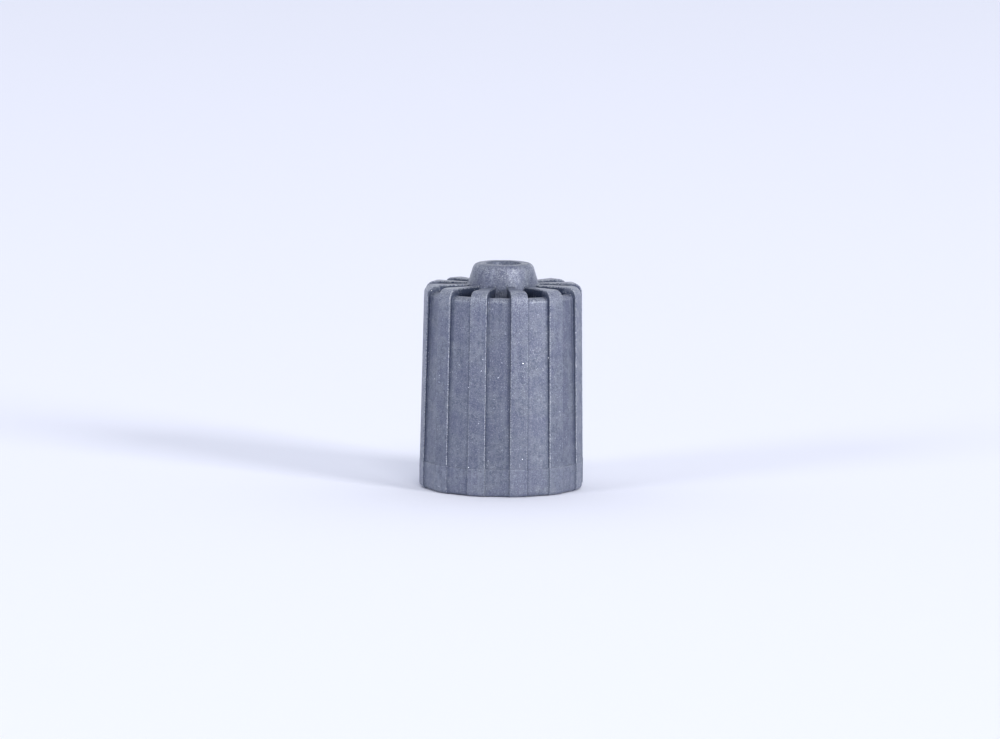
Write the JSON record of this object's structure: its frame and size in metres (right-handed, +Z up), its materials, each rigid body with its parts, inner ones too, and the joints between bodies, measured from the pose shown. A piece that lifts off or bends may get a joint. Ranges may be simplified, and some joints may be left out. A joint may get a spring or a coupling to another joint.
{
  "type": "tyre valve cap",
  "caption": "Ribbed plastic sealing cap that screws onto a tyre sensor's valve stem, with a rubber washer in its crown.",
  "frame": {"origin": "centre of the open mouth's rim, which the cap stands on", "axes": "+Z up along the thread's axis, from the mouth to the boss; +X through the middle of a rib"},
  "size_m": [0.01, 0.01, 0.0136],
  "materials": {
    "shell": "moulded grey nylon with fine metallic flake",
    "seal": "black rubber, matt"
  },
  "bodies": {
    "root": {"cap_shell": "shell", "seal_washer": "seal"}
  },
  "joints": []
}
